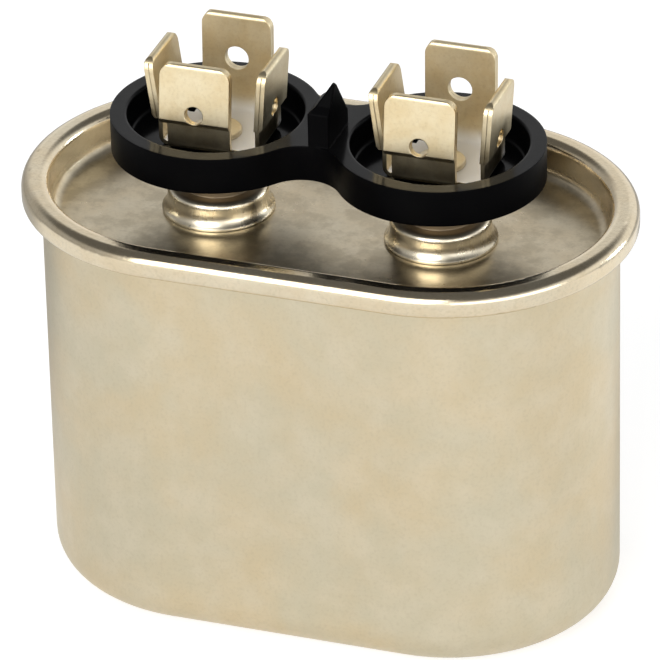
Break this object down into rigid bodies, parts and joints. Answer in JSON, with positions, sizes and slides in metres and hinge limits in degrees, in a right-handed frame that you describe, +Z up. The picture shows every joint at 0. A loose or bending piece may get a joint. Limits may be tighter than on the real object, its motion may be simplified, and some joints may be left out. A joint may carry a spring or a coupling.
{
  "type": "motor run capacitor",
  "caption": "Oval metal-can motor run capacitor with a double-seamed cover, a black insulating cup around each terminal and folded push-on blades, wound element inside.",
  "frame": {"origin": "centre of the can's foot, on the face it stands on", "axes": "+X along the oval towards the right terminal, +Y towards the rear with the taller blade of each terminal, +Z up"},
  "size_m": [0.0548, 0.0334, 0.0513],
  "materials": {
    "can_metal": "tin-plated deep-drawn steel, satin",
    "cover_metal": "tin-plated pressed steel, satin",
    "ferrule_metal": "tin-plated steel, bright",
    "cup_plastic": "moulded thermoset, glossy black",
    "terminal_metal": "tin-plated brass sheet, pale gold",
    "rivet_metal": "tin-plated, bright",
    "washer_laminate": "phenolic laminate",
    "lug_metal": "brass sheet",
    "strap_metal": "tinned copper strip",
    "pressboard": "dense pressboard",
    "sprayed_zinc": "rough sprayed zinc",
    "film": "wound metallised polypropylene",
    "core_plastic": "moulded polypropylene",
    "sleeve_paper": "wrapped insulating paper"
  },
  "bodies": {
    "root": {"can": "can_metal", "cover": "cover_metal", "left_ferrule": "ferrule_metal", "right_ferrule": "ferrule_metal", "terminal_cup": "cup_plastic", "left_terminal": "terminal_metal", "right_terminal": "terminal_metal", "left_rivet": "rivet_metal", "right_rivet": "rivet_metal", "left_insulating_washer": "washer_laminate", "right_insulating_washer": "washer_laminate", "left_solder_lug": "lug_metal", "right_solder_lug": "lug_metal", "left_lead_strap": "strap_metal", "right_lead_strap": "strap_metal", "top_board_insulator": "pressboard", "upper_end_spray": "sprayed_zinc", "film_winding": "film", "winding_core": "core_plastic", "lower_end_spray": "sprayed_zinc", "foot_board_insulator": "pressboard", "insulating_sleeve": "sleeve_paper"}
  },
  "joints": []
}
